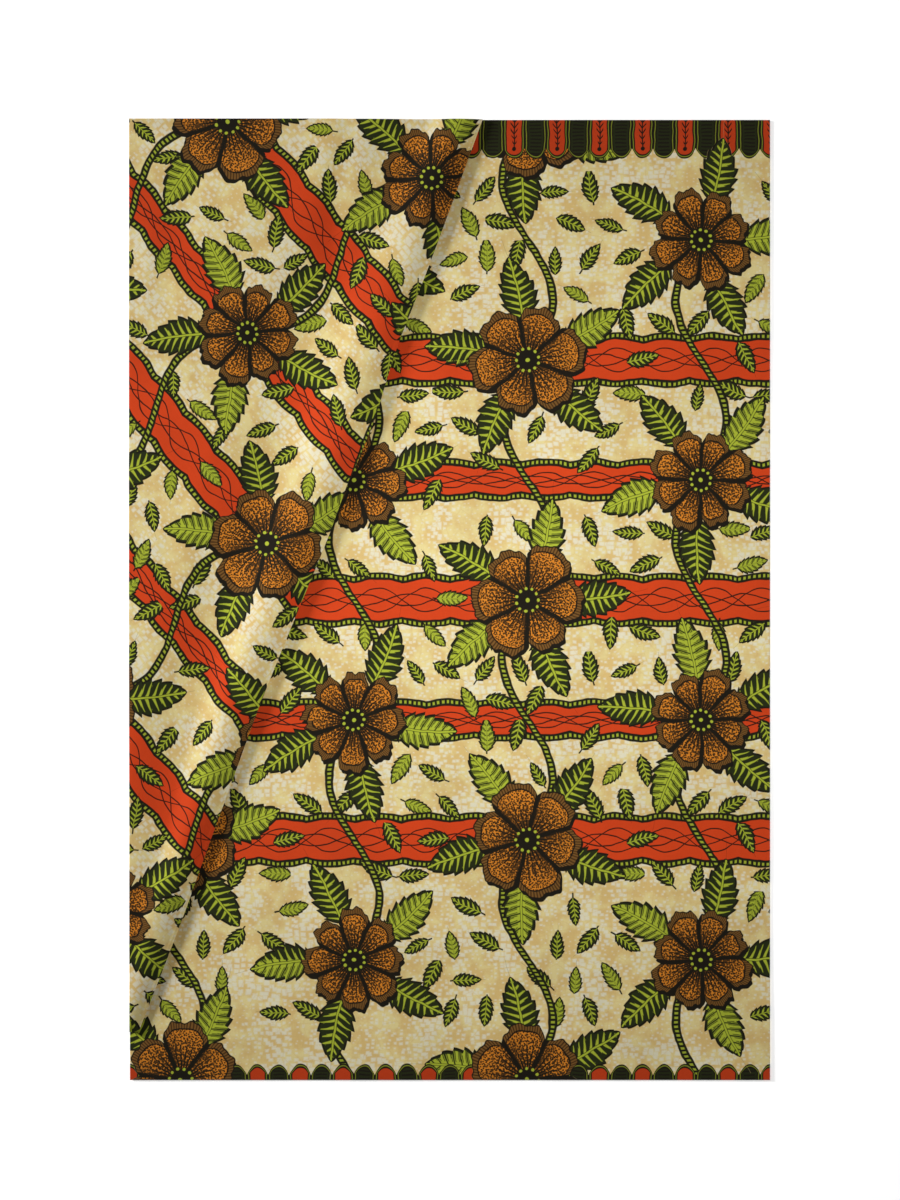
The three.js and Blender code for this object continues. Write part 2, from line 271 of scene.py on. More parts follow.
class StageSettings(PropertyGroup):
    """The floor, the lights and the camera."""

    lens: amount("Lens", "Focal length in millimetres", 85.0, min=20, unit="CAMERA")
    framed_height: amount("Framed height", "How much the picture's height takes in", 1.425, unit="LENGTH")
    key_power: amount("Key power", "Of the low light from the upper left", 333.0, min=0, unit="POWER")
    glow_power: amount("Glow power", "Of the light over the middle", 2.45, min=0, unit="POWER")
    rim_power: amount("Rim power", "Of the weak low light from the right", 46.0, min=0, unit="POWER")
    surround: amount("Surround", "Light of the room", 0.1, min=0)


# ---- Shader patterns: node groups whose values are written like sums ----
def math_function(operation):
    """A function that adds a math node to its first value's pattern, and gives what the node gives."""

    def apply(value, *others):
        return value.pattern.calc(operation, value, *others)

    return apply


class Value:
    """A number, or a colour, that changes over the cloth: one socket of a pattern."""

    def __init__(self, pattern, socket):
        self.pattern = pattern
        self.socket = socket

    def __rsub__(self, other):
        return self.pattern.calc("SUBTRACT", other, self)

    __add__ = __radd__ = math_function("ADD")
    __sub__ = math_function("SUBTRACT")
    __mul__ = __rmul__ = math_function("MULTIPLY")
    __truediv__ = math_function("DIVIDE")
    __mod__ = math_function("FLOORED_MODULO")
    __pow__ = math_function("POWER")
    __abs__ = math_function("ABSOLUTE")


class Pattern:
    """A shader node group as it is built."""

    IN_A_ROW, STEP_RIGHT, STEP_DOWN = 12, 180, 220
    # A Mix node's sockets for colours, among those for its other kinds of data.
    MASK, UNDER, OVER, MIXED = 0, 6, 7, 2

    def __init__(self, name, numbers, colours=(), gives=("Colour", "Mask")):
        """Takes numbers and colours, by their labels. It gives numbers, apart from Colour."""
        self.tree = bpy.data.node_groups.new(name, "ShaderNodeTree")
        self.takes = (*numbers, *colours)
        for direction, labels in (("INPUT", self.takes), ("OUTPUT", gives)):
            for label in labels:
                coloured = label in colours or label == "Colour"
                kind = "NodeSocketColor" if coloured else "NodeSocketFloat"
                self.tree.interface.new_socket(name=label, in_out=direction, socket_type=kind)
        self.placed = 0
        self.entry = self.node("NodeGroupInput")
        self.exit = self.node("NodeGroupOutput")

    def node(self, kind, **settings):
        node = self.tree.nodes.new(kind)
        down, right = divmod(self.placed, self.IN_A_ROW)
        node.location = (self.STEP_RIGHT * right, -self.STEP_DOWN * down)
        self.placed += 1
        for key, value in settings.items():
            setattr(node, key, value)
        return node

    def feed(self, socket, value):
        """Links a value to a socket, or sets the socket to a plain number or colour."""
        if isinstance(value, Value):
            self.tree.links.new(value.socket, socket)
        elif hasattr(value, "__len__") and socket.type == "RGBA":
            socket.default_value = (*value, 1)
        else:
            socket.default_value = value

    def take(self):
        """What the group takes, in its order."""
        return [Value(self, self.entry.outputs[label]) for label in self.takes]

    def give(self, **values):
        """Feeds what the group gives, and hands the finished group over."""
        for key, value in values.items():
            self.feed(self.exit.inputs[socket_label(key)], value)
        return self.tree

    def calc(self, operation, *values):
        node = self.node("ShaderNodeMath", operation=operation)
        for socket, value in zip(node.inputs, values):
            self.feed(socket, value)
        return Value(self, node.outputs[0])

    def ramp(self, value, start, end, low=0.0, high=1.0):
        """low before start, high after end, and a straight change between them."""
        node = self.node("ShaderNodeMapRange", interpolation_type="LINEAR", clamp=True)
        for socket, entry in zip(node.inputs, (value, start, end, low, high)):
            self.feed(socket, entry)
        return Value(self, node.outputs[0])

    def paint(self, under, over, mask):
        node = self.node("ShaderNodeMix", data_type="RGBA")
        for index, value in ((self.MASK, mask), (self.UNDER, under), (self.OVER, over)):
            self.feed(node.inputs[index], value)
        return Value(self, node.outputs[self.MIXED])

    def vector(self, x, y, z=0.0):
        node = self.node("ShaderNodeCombineXYZ")
        for socket, value in zip(node.inputs, (x, y, z)):
            self.feed(socket, value)
        return Value(self, node.outputs[0])

    def texture(self, kind, vector, output, settings, **inputs):
        node = self.node(kind, **settings)
        self.feed(node.inputs["Vector"], vector)
        for label, value in inputs.items():
            self.feed(node.inputs[socket_label(label)], value)
        return Value(self, node.outputs[output])

    def noise(self, vector, scale, detail=2.0):
        settings = {"noise_dimensions": "2D"}
        return self.texture("ShaderNodeTexNoise", vector, "Fac", settings, scale=scale, detail=detail)

    def cells(self, vector, scale, randomness=1.0, feature="F1", distance="EUCLIDEAN"):
        settings = {"voronoi_dimensions": "2D", "feature": feature, "distance": distance}
        inputs = {"scale": scale, "randomness": randomness}
        return self.texture("ShaderNodeTexVoronoi", vector, "Distance", settings, **inputs)

    def use(self, group, **inputs):
        """Places another group. Its outputs come back by name."""
        node = self.node("ShaderNodeGroup")
        node.node_tree = group
        for label, value in inputs.items():
            self.feed(node.inputs[socket_label(label)], value)
        return {socket.name: Value(self, socket) for socket in node.outputs}


sine, cosine = math_function("SINE"), math_function("COSINE")
rounded, fraction = math_function("ROUND"), math_function("FRACT")
least, most = math_function("MINIMUM"), math_function("MAXIMUM")


def distance(x, y):
    return x.pattern.calc("SQRT", x * x + y * y)


def below(value, limit, soft=SOFT):
    """1 where value is under limit and 0 over it, with a soft edge."""
    return value.pattern.ramp(value - limit, -soft, soft, 1.0, 0.0)


def above(value, limit, soft=SOFT):
    """1 where value is over limit and 0 under it, with a soft edge."""
    return value.pattern.ramp(value - limit, -soft, soft, 0.0, 1.0)


def motif_lattice():
    """Where a point is from the middle of the nearest blossom, and that blossom's kind and turn.

    Two square-on lattices, one for each kind, stand half a pitch apart both ways."""
    p = Pattern("Motif Lattice", ("Along", "Across"), gives=("X", "Y", "Kind", "Turn"))
    along, across = p.take()

    def nearest(start_along, start_across):
        column = rounded((along - start_along) / (2 * COLUMN_PITCH))
        row = rounded((across - start_across) / ROW_PITCH)
        x = along - start_along - column * (2 * COLUMN_PITCH)
        y = across - start_across - row * ROW_PITCH
        return x, y, column * TURN_ALONG + row * TURN_ACROSS

    x, y, turn = nearest(COLUMN_START, 0.0)
    other_x, other_y, other_turn = nearest(COLUMN_START + COLUMN_PITCH, ROW_PITCH / 2)
    kind = above(distance(x, y), distance(other_x, other_y), HARD)
    return p.give(
        x=x + (other_x - x) * kind,
        y=y + (other_y - y) * kind,
        kind=kind,
        turn=turn + (other_turn + OTHER_KIND_TURN - turn) * kind,
    )


def leaf_ring():
    """Where a point is from the foot of its leaf, in a ring of leaves round a blossom."""
    p = Pattern("Leaf Ring", ("X", "Y", "Turn"), gives=("Along Leaf", "Across Leaf", "Lime"))
    x, y, turn = p.take()
    place = (p.calc("ARCTAN2", y, x) + turn) * (LEAF_RING_COUNT / TAU)
    number = rounded(place)
    off = (place - number) * (TAU / LEAF_RING_COUNT)
    reach = distance(x, y)
    along = reach * cosine(off) - LEAF_RING_START
    bow = LEAF_BOW * (along / LEAF_LENGTH) ** 2
    return p.give(
        along_leaf=along,
        across_leaf=reach * sine(off) - bow,
        lime=below(abs(number % 3 - 1.0), 0.5, CRISP),
    )


def leaf():
    """A toothed leaf, dark with lime strokes beside a lime midrib, or lime with dark veins."""
    shape = ("Along Leaf", "Across Leaf", "Length", "Width", "Lime")
    p = Pattern("Leaf", shape, ("Light", "Dark", "Line"))
    along, across, length, width, lime, light, dark, line = p.take()
    # The outline is widest a little before the middle, and toothed.
    share = p.ramp(along / length, 0.0, 1.0)
    belly = sine(share ** 0.8 * math.pi)
    teeth = 1.0 - TOOTH_DEPTH + TOOTH_DEPTH * fraction(share * LEAF_TEETH)
    half = width * 0.5 * most(belly, 0.0) ** 0.72 * teeth
    off = abs(across)
    depth = half - off
    outward = off / most(half, 1.0)
    # Slanting strokes beside the midrib, drop-shaped on a dark leaf and broad on a lime one.
    slant = share * (3.6 + length * 0.075) - outward * 1.1
    streak = abs(fraction(slant) - 0.5) * 2.0
    drops = 0.5 - 0.5 * outward
    wide = drops + lime * (0.3 + 0.42 * outward)
    shown = below(streak, wide, 0.12) * above(depth, 0.8 + width * 0.07) * above(off, width * 0.035)
    thin = abs(fraction(slant * 2.0) - 0.5)
    fleck = below(thin, 0.11, 0.08) * lime * above(off, width * 0.1)
    body = p.paint(dark, light, shown)
    body = p.paint(body, dark, fleck)
    body = p.paint(body, light, below(off, width * 0.022, 0.25))
    body = p.paint(body, line, below(depth, width * 0.018 + 1.4))
    stem = below(off, 0.9) * above(along, length * -0.16) * below(along, 0.4)
    return p.give(colour=p.paint(body, line, stem), mask=most(above(depth, 0.0), stem))


BLOSSOM_SHAPE = ("X", "Y", "Radius", "Petals", "Turn")


def petal_outline():
    """How deep a point is inside a blossom's outline, and where it is in its petal, from -0.5 to 0.5."""
    p = Pattern("Petal Outline", BLOSSOM_SHAPE, gives=("Depth", "Reach", "Angle", "Off", "Ruffle"))
    x, y, radius, petals, turn = p.take()
    reach = distance(x, y)
    angle = p.calc("ARCTAN2", y, x) + turn
    place = angle * petals / TAU
    number = rounded(place)
    off = place - number
    side = abs(off) * 2.0
    ruffle = sine(off * (TAU * 2.6) + number * 1.3) * 1.8 + sine(off * (TAU * 6.0) + number) * 0.7
    uneven = 1.0 + PETAL_UNEVEN * sine(number * 2.1)
    depth = radius * (uneven - PETAL_NOTCH * side ** 3.0) + ruffle - reach
    return p.give(depth=depth, reach=reach, angle=angle, off=off, ruffle=ruffle)


def blossom(outline):
    """A round blossom of broad ruffled petals, stippled, with a dark rim, veins and a dotted eye."""
    p = Pattern("Blossom", BLOSSOM_SHAPE, ("Petal", "Shade", "Rim", "Line", "Eye"))
    x, y, radius, petals, turn, petal, shade, rim, line, eye = p.take()
    flower = p.use(outline, x=x, y=y, radius=radius, petals=petals, turn=turn)
    depth, reach, angle = flower["Depth"], flower["Reach"], flower["Angle"]
    off, ruffle = flower["Off"], flower["Ruffle"]
    # The stipple grows denser outwards, and hatching darkens one side of each petal.
    out = reach / radius
    grain = p.cells(p.vector(x, y), 0.43)
    crowd = p.ramp(out, 0.18, 0.85, 0.66, 0.39)
    body = p.paint(shade, petal, above(grain, crowd, 0.07))
    hatch = abs(fraction(reach * 0.3 + off) - 0.5)
    dusk = p.ramp(off, 0.1, 0.42) * p.ramp(out, 0.98, 0.55)
    body = p.paint(body, shade, dusk * below(hatch, 0.36, 0.1))
    # Veins fan out from the eye to a combed rim.
    fan = abs(fraction(off * 6.0) - 0.5) * reach * (TAU / 6.0) / petals
    vein = below(fan, 1.25 - out * 1.3, 0.3) * above(out, 0.12, CRISP)
    body = p.paint(body, line, vein)
    rim_width = RIM_DEPTH + ruffle * 0.8
    comb = abs(fraction(off * 20.0) - 0.5)
    edging = p.paint(rim, shade, below(comb, 0.22, 0.1))
    body = p.paint(body, edging, below(depth, rim_width))
    body = p.paint(body, line, below(abs(depth - rim_width), 0.9))
    # Dark wedges part the petals. The eye is dark too, with a ring of dots.
    side = abs(off) * 2.0
    gap = (1.0 - side) * reach * math.pi / petals
    wedge = 1.9 + p.ramp(off, 0.0, 0.1) * p.ramp(out, 0.45, 0.95) * 3.6
    body = p.paint(body, line, below(gap, wedge) * above(out, EYE_SHARE - CRISP, CRISP))
    body = p.paint(body, line, below(depth, OUTLINE))
    body = p.paint(body, line, below(out, EYE_SHARE, CRISP))
    dots = angle * (EYE_DOTS / TAU)
    around = (dots - rounded(dots)) * (TAU / EYE_DOTS) * reach
    ring = distance(around, reach - radius * EYE_RING_SHARE)
    body = p.paint(body, eye, below(ring, 1.8))
    body = p.paint(body, eye, below(reach, 2.4))
    return p.give(colour=body, mask=above(depth, 0.0))


def nearest_ribbon(across):
    """The middle of the nearest ribbon, and 1 for a slim one, which lies between two wide ones."""
    number = rounded(across / RIBBON_PITCH)
    return number * RIBBON_PITCH, number % 2


def small_leaves(lattice, ring, leaf_group):
    """Loose small leaves on a jittered brick grid, kept off the blossoms, big leaves and borders.

    Fewer of them lie on the ribbons."""
    p = Pattern("Small Leaves", ("Along", "Across"), ("Light", "Dark", "Line"))
    along, across, light, dark, line = p.take()
    row = rounded(across / SMALL_PITCH_ACROSS)
    brick = (row % 2) * (SMALL_PITCH_ALONG / 2)
    column = rounded((along + brick) / SMALL_PITCH_ALONG)
    settings = {"noise_dimensions": "2D"}
    chance = p.texture("ShaderNodeTexWhiteNoise", p.vector(column % 10, row % 14), "Color", settings)
    parts = p.node("ShaderNodeSeparateColor")
    p.feed(parts.inputs[0], chance)
    first, second, third = (Value(p, socket) for socket in parts.outputs)
    middle_along = column * SMALL_PITCH_ALONG - brick + (first - 0.5) * SMALL_JITTER
    middle_across = row * SMALL_PITCH_ACROSS + (second - 0.5) * SMALL_JITTER
    turn = third * TAU
    dx, dy = along - middle_along, across - middle_across
    size = 0.8 + 0.22 * second
    leafward = dx * cosine(turn) + dy * sine(turn) + size * (SMALL_LENGTH / 2)
    sideways = dy * cosine(turn) - dx * sine(turn)
    bow = (leafward / SMALL_LENGTH) ** 2 * (first - 0.5) * LEAF_BOW
    drawn = p.use(
        leaf_group, along_leaf=leafward, across_leaf=sideways - bow, length=size * SMALL_LENGTH,
        width=size * SMALL_WIDTH, lime=above(first, LIME_FROM, HARD), light=light, dark=dark, line=line,
    )
    cell = p.use(lattice, along=middle_along, across=middle_across)
    near = p.use(ring, x=cell["X"], y=cell["Y"], turn=cell["Turn"])
    off_blossom = above(distance(cell["X"], cell["Y"]), BLOSSOM_RADIUS + BLOSSOM_CLEAR, HARD)
    beside = above(abs(near["Across Leaf"]), LEAF_WIDTH / 2 + LEAF_CLEAR, HARD)
    beyond = above(near["Along Leaf"], LEAF_LENGTH + LEAF_CLEAR, HARD)
    middle, slim = nearest_ribbon(middle_across)
    ribbon_reach = RIBBON_HALF + SCALLOP + 2 * CHAIN_HALF + RIBBON_CLEAR - slim * RIBBON_LESS
    off_ribbon = above(abs(middle_across - middle), ribbon_reach, HARD)
    free = most(off_ribbon, above(abs(middle_across), RIBBONS_END, HARD))
    may_lie = most(free, above(second, ON_RIBBON_FROM, HARD))
    off_border = below(abs(middle_across), UPPER - UPPER_TAB_TIP - BORDER_CLEAR, HARD)
    return p.give(
        colour=drawn["Colour"],
        mask=drawn["Mask"] * off_blossom * most(beside, beyond) * may_lie * off_border,
    )


def bead_chain():
    """A dark green cord with pale oblong beads, outlined."""
    p = Pattern("Bead Chain", ("Along", "Off"), ("Bead", "Cord", "Line"))
    along, off, bead, cord, line = p.take()
    run = (fraction(along / BEAD_PITCH) - 0.5) * BEAD_PITCH
    body = p.paint(cord, line, above(abs(run), 2.2))
    body = p.paint(body, bead, below(most(abs(run) * 1.25, abs(off)), 1.7) * 0.85)
    body = p.paint(body, line, above(abs(off), CHAIN_HALF - 1.2))
    return p.give(colour=body, mask=below(abs(off), CHAIN_HALF))


def ribbon(chain):
    """A red-orange band with scalloped edges, braided dark veins and a bead chain along both sides."""
    p = Pattern("Ribbon", ("Along", "Across"), ("Band", "Bead", "Cord", "Line"))
    along, across, band, bead, cord, line = p.take()
    middle, slim = nearest_ribbon(across)
    off = abs(across - middle)
    wave = (along + slim * (SCALLOP_PITCH / 2)) * (math.pi / SCALLOP_PITCH)
    half = RIBBON_HALF - slim * RIBBON_LESS + SCALLOP * abs(sine(wave))
    braid = abs(sine(wave)) * (14.0 - slim * 5.0)
    cross = abs(sine(wave + 1.1)) * (7.0 - slim * 2.0)
    veins = least(abs(off - braid), abs(off - cross))
    body = p.paint(band, line, below(veins, 0.75))
    body = p.paint(body, line, above(off, half - 1.1))
    beads = p.use(chain, along=along, off=off - half - CHAIN_HALF + 0.6, bead=bead, cord=cord, line=line)
    return p.give(
        colour=p.paint(body, beads["Colour"], beads["Mask"]),
        mask=below(off, half + 2 * CHAIN_HALF - 0.6) * below(abs(across), RIBBONS_END),
    )


def border_tabs():
    """A selvedge border of rounded tabs, red-orange and dark green by turns."""
    p = Pattern("Border Tabs", ("Along", "Across"), ("Red", "Green", "Pale", "Line"))
    along, across, red, green, pale, line = p.take()
    from_edge = UPPER - abs(across)
    upper = above(across, 0.0, 1.0)
    place = along / TAB_PITCH
    number = rounded(place)
    off = (place - number) * TAB_PITCH
    odd = number % 2
    swell = 1.0 - (abs(off) * (2.0 / TAB_PITCH)) ** 2.2
    valley = LOWER_TAB_VALLEY + upper * (UPPER_TAB_VALLEY - LOWER_TAB_VALLEY)
    drop = LOWER_TAB_TIP - LOWER_TAB_VALLEY + upper * (UPPER_TAB_TIP - UPPER_TAB_VALLEY - 13.0)
    depth = valley + swell * drop - from_edge
    # Green tabs have rungs. The red ones of the upper border have a sprig under a dot.
    rungs = below(abs(fraction(from_edge / 4.2) - 0.5), 0.2, 0.06) * below(abs(off), 6.6)
    tab = p.paint(green, line, rungs)
    sprig = abs(fraction((from_edge + abs(off) * 1.3) / 6.5) - 0.5)
    sprig_end = 4.6 - p.ramp(from_edge, 8.0, 30.0) * 2.6
    twigs = below(sprig, 0.17, 0.06) * below(abs(off), sprig_end) * below(from_edge, 29.0)
    twigs = most(twigs, below(abs(off), 0.7) * below(from_edge, 33.0))
    red_tab = p.paint(red, line, most(twigs, below(distance(off, from_edge - 34.0), 2.4)) * upper)
    tab = p.paint(tab, red_tab, odd)
    inset = least(depth * 0.8, TAB_PITCH / 2 - abs(off))
    tab = p.paint(tab, line, 0.2)
    tab = p.paint(tab, line, below(inset, 4.0))
    tab = p.paint(tab, pale, below(abs(inset - 1.9), 0.45) * 0.55)
    return p.give(colour=tab, mask=above(depth, 0.0))


def wax_ground():
    """Cream with yellow-peach clouds, pale squarish spots where the wax held, and fine crackle."""
    p = Pattern("Wax Ground", ("Along", "Across"), ("Ground", "Blotch", "Bubble"), ("Colour", "Fade"))
    along, across, ground, blotch, bubble = p.take()
    place = p.vector(along, across)
    clouds = p.noise(place, 0.045, 4.0)
    body = p.paint(ground, blotch, p.ramp(clouds, 0.38, 0.6, 0.0, 0.9))
    spots = p.cells(p.vector(along * 0.8, across), 0.17, 0.75, distance="CHEBYCHEV")
    spread = p.ramp(p.noise(place, 0.021, 1.0), 0.36, 0.62, 0.08, 0.4)
    body = p.paint(body, bubble, below(spots, spread, 0.13) * 0.8)
    crackle = p.cells(place, 0.06, 1.0, "DISTANCE_TO_EDGE")
    body = p.paint(body, blotch, below(crackle, 0.03, 0.03) * 0.35)
    return p.give(colour=body, fade=p.ramp(p.noise(place, 0.011, 4.0), 0.3, 0.7, 0.94, 1.05))


def cotton_weave():
    """Plain weave: the height of its threads, and their uneven tone."""
    p = Pattern("Cotton Weave", ("Along", "Across", "Pitch"), gives=("Height", "Tone"))
    along, across, pitch = p.take()
    warp = sine(along * TAU / pitch)
    weft = sine(across * TAU / pitch)
    slubs = p.noise(p.vector(along * 0.09, across * 1.4), 1.0, 2.0)
    picks = p.noise(p.vector(along * 1.4, across * 0.09), 1.0, 2.0)
    return p.give(
        height=(warp + weft) * 0.25 + slubs * 0.6 + picks * 0.6,
        tone=p.ramp(slubs + picks, 0.6, 1.4, 0.965, 1.035),
    )


def build_patterns():
    """The patterns that the print is made of, each built once."""
    lattice, ring, leaf_group, chain = motif_lattice(), leaf_ring(), leaf(), bead_chain()
    outline = petal_outline()
    return {
        "lattice": lattice,
        "ring": ring,
        "leaf": leaf_group,
        "chain": chain,
        "outline": outline,
        "blossom": blossom(outline),
        "small_leaves": small_leaves(lattice, ring, leaf_group),
        "ribbon": ribbon(chain),
        "border": border_tabs(),
        "ground": wax_ground(),
    }


def whole_print(patterns):
    """The print as one group: a place on the flat cloth in, its colour out."""
    dyes = [socket_label(key) for key in ClothColours.__annotations__]
    p = Pattern("Wax Print", ("Along", "Across"), dyes, ("Colour",))
    along, across, ground, blotch, bubble, band, line, petal, shade, rim, light, dark = p.take()
    # Nothing in the print is quite straight.
    wobble = p.vector(along, across)
    along = along + (p.noise(wobble, 0.05, 1.0) - 0.5) * PRINT_WOBBLE
    across = across + (p.noise(p.vector(across, along), 0.05, 1.0) - 0.5) * PRINT_WOBBLE
    place = {"along": along, "across": across}
    greens = {"light": light, "dark": dark, "line": line}
    beads = {"bead": light, "cord": dark, "line": line}
    base = p.use(patterns["ground"], ground=ground, blotch=blotch, bubble=bubble, **place)
    cell = p.use(patterns["lattice"], **place)
    x, y, kind, turn = cell["X"], cell["Y"], cell["Kind"], cell["Turn"]

    def over(under, motif):
        return p.paint(under, motif["Colour"], motif["Mask"])

    body = over(base["Colour"], p.use(patterns["ribbon"], band=band, **place, **beads))
    body = over(body, p.use(patterns["small_leaves"], **place, **greens))
    sway = sine(y * (TAU / ROW_PITCH)) * STEM_SWING
    body = over(body, p.use(patterns["chain"], along=y * 1.1, off=(x - sway) * 0.84, **beads))
    ring = p.use(patterns["ring"], x=x, y=y, turn=turn)
    leaves = p.use(
        patterns["leaf"], along_leaf=ring["Along Leaf"], across_leaf=ring["Across Leaf"],
        length=LEAF_LENGTH, width=LEAF_WIDTH, lime=ring["Lime"], **greens,
    )
    body = over(body, leaves)
    radius = BLOSSOM_RADIUS - kind * BLOSSOM_LESS
    petals = BLOSSOM_PETALS + kind * BLOSSOM_MORE_PETALS
    shape = {"radius": radius, "petals": petals, "turn": turn}
    underside = p.use(patterns["outline"], x=x - 2.0, y=y + 4.5, **shape)
    body = p.paint(body, line, above(underside["Depth"], 1.0))
    flower = p.use(
        patterns["blossom"], x=x, y=y, petal=petal, shade=shade, rim=rim, line=line, eye=light, **shape
    )
    body = over(body, flower)
    border = p.use(patterns["border"], red=band, green=dark, pale=light, line=line, **place)
    # The lower blossoms lie over their border, and so do the leaves of one kind at both borders.
    on_top = most(flower["Mask"] * below(across, 0.0), leaves["Mask"] * kind)
    body = p.paint(body, border["Colour"], border["Mask"] * (1.0 - on_top))
    faded = p.node("ShaderNodeVectorMath", operation="SCALE")
    p.feed(faded.inputs[0], body)
    p.feed(faded.inputs["Scale"], base["Fade"])
    return p.give(colour=Value(p, faded.outputs[0]))


def printed_cotton(name, wax_print, weave, dyes, finish):
    """The printed cotton as a material. Its pattern reads the cloth's own flat places."""
    material = bpy.data.materials.new(name)
    material.use_nodes = True
    tree = material.node_tree
    shader = next(n for n in tree.nodes if n.type == "BSDF_PRINCIPLED")
    shader.location = (900, 0)

    def add(kind, *location):
        node = tree.nodes.new(kind)
        node.location = location
        return node

    def add_group(group, *location):
        node = add("ShaderNodeGroup", *location)
        node.node_tree = group
        return node

    def add_scale(*location):
        node = add("ShaderNodeVectorMath", *location)
        node.operation = "SCALE"
        return node

    flat = add("ShaderNodeUVMap", -600, 0)
    flat.uv_map = PRINT_LAYER
    grow = add_scale(-400, 0)
    grow.inputs["Scale"].default_value = 1 / MM
    place = add("ShaderNodeSeparateXYZ", -200, 0)
    dye = add_group(wax_print, 100, 0)
    threads = add_group(weave, 100, -300)
    threads.inputs["Pitch"].default_value = finish.thread / MM
    tone = add_scale(500, 0)
    bump = add("ShaderNodeBump", 600, -300)
    bump.inputs["Strength"].default_value = THREAD_BUMP
    bump.inputs["Distance"].default_value = THREAD_RELIEF
    links = tree.links
    links.new(flat.outputs[0], grow.inputs[0])
    links.new(grow.outputs[0], place.inputs[0])
    for group in (dye, threads):
        links.new(place.outputs[0], group.inputs["Along"])
        links.new(place.outputs[1], group.inputs["Across"])
    for key in ClothColours.__annotations__:
        dye.inputs[socket_label(key)].default_value = (*getattr(dyes, key), 1)
    links.new(dye.outputs["Colour"], tone.inputs[0])
    links.new(threads.outputs["Tone"], tone.inputs["Scale"])
    links.new(tone.outputs[0], shader.inputs["Base Color"])
    links.new(threads.outputs["Height"], bump.inputs["Height"])
    links.new(bump.outputs[0], shader.inputs["Normal"])
    shader.inputs["Roughness"].default_value = finish.roughness
    shader.inputs["Sheen Weight"].default_value = finish.sheen
    shader.inputs["Sheen Roughness"].default_value = SHEEN_ROUGHNESS
    shader.inputs["Specular IOR Level"].default_value = SPECULAR_LEVEL
    return material


# ---- Heights of the cloth, for whole arrays of places at once ----
def smooth(value, start, end):
    share = np.clip((value - start) / (end - start), 0, 1)
    return share * share * (3 - 2 * share)


def swing(start, end, share):
    return start + (end - start) * smooth(share, 0, 1)


def read_section(column, y):
    """One column of the fold-over's table, as a smooth curve up the cloth."""
    table = np.array(FOLD_SECTIONS, float)
    ups, values = table[:, 0], table[:, FOLD_COLUMNS.index(column)]
    at = np.clip(np.asarray(y, float) - LOWER, ups[0], ups[-1])
    rows, last = np.arange(len(ups)), len(ups) - 1
    low = np.clip(np.searchsorted(ups, at, "right") - 1, 0, last - 1)
    before, after = np.maximum(rows - 1, 0), np.minimum(rows + 1, last)
    slope = (values[after] - values[before]) / (ups[after] - ups[before])
    span = ups[low + 1] - ups[low]
    rise = values[low + 1] - values[low]
    share = (at - ups[low]) / span
    start, end = slope[low] * span - rise, slope[low + 1] * span - rise
    return values[low] + rise * share + share * (1 - share) * ((1 - share) * start - share * end)


def swell_height(swells, x, y):
    height = np.zeros(np.broadcast(x, y).shape)
    for middle, up, length, width, turn, tall in swells:
        lean = math.radians(turn)
        dx, dy = x - middle, y - (LOWER + up)
        along = (dy * math.cos(lean) + dx * math.sin(lean)) / length
        across = (dx * math.cos(lean) - dy * math.sin(lean)) / width
        height = height + tall * np.exp(-along**2 - across**2)
    return height


def crease_height(creases, x, y):
    """Soft troughs and ridges along short lines, fading out at both ends."""
    height = np.zeros(np.broadcast(x, y).shape)
    for from_x, from_up, to_x, to_up, half, tall in creases:
        start = np.array([from_x, LOWER + from_up])
        way = np.array([to_x, LOWER + to_up]) - start
        length = np.hypot(*way)
        along = ((x - start[0]) * way[0] + (y - start[1]) * way[1]) / length**2
        bend = CREASE_BOW * length * np.sin(math.pi * along)
        off = ((x - start[0]) * way[1] - (y - start[1]) * way[0]) / length - bend
        fade = smooth(along, *CREASE_STARTS) * (1 - smooth(along, *CREASE_ENDS))
        height = height + tall * fade * np.exp(-((off / half) ** 2))
    return height


def hand(x, y, size, seed):
    """Small uneven rises, the same each time: a few crossing waves of about that size."""
    draws = np.random.default_rng(seed)
    height = np.zeros(np.broadcast(x, y).shape)
    for _ in range(UNEVEN_WAVES):
        angle, stretch, phase = draws.uniform(0, TAU), draws.uniform(*WAVE_STRETCH), draws.uniform(0, TAU)
        run = x * math.cos(angle) + y * math.sin(angle)
        height = height + np.sin(run * TAU / (size * stretch) + phase)
    return height / UNEVEN_WAVES


def crease_x(y):
    return LEFT + (y - LOWER - CREASE_FOOT_UP) * math.tan(CREASE_LEAN) + read_section("waver", y)


def fold_width(y):
    return crease_x(y) - LEFT


def in_from_crease(x, y):
    return (crease_x(y) - x) * math.cos(CREASE_LEAN)


def fold_height(x, y):
    """Height of the fold-over's face above the floor."""
    inward = np.maximum(in_from_crease(x, y), 0)
    ridge, ridge_in = read_section("ridge", y), read_section("ridge_in", y)
    trough, trough_in = read_section("trough", y), read_section("trough_in", y)
    crest, crest_in = read_section("crest", y), read_section("crest_in", y)
    rolled = CREASE_TOP_SHARE * ridge
    near = rolled + (ridge - rolled) * np.sin(np.minimum(inward / ridge_in, 1) * math.pi / 2)
    down = swing(ridge, trough, (inward - ridge_in) / (trough_in - ridge_in))
    rise = swing(trough, crest, (inward - trough_in) / (crest_in - trough_in))
    height = np.where(inward < ridge_in, near, np.where(inward < trough_in, down, rise))
    return height + swell_height(FOLD_SWELLS, x, y)


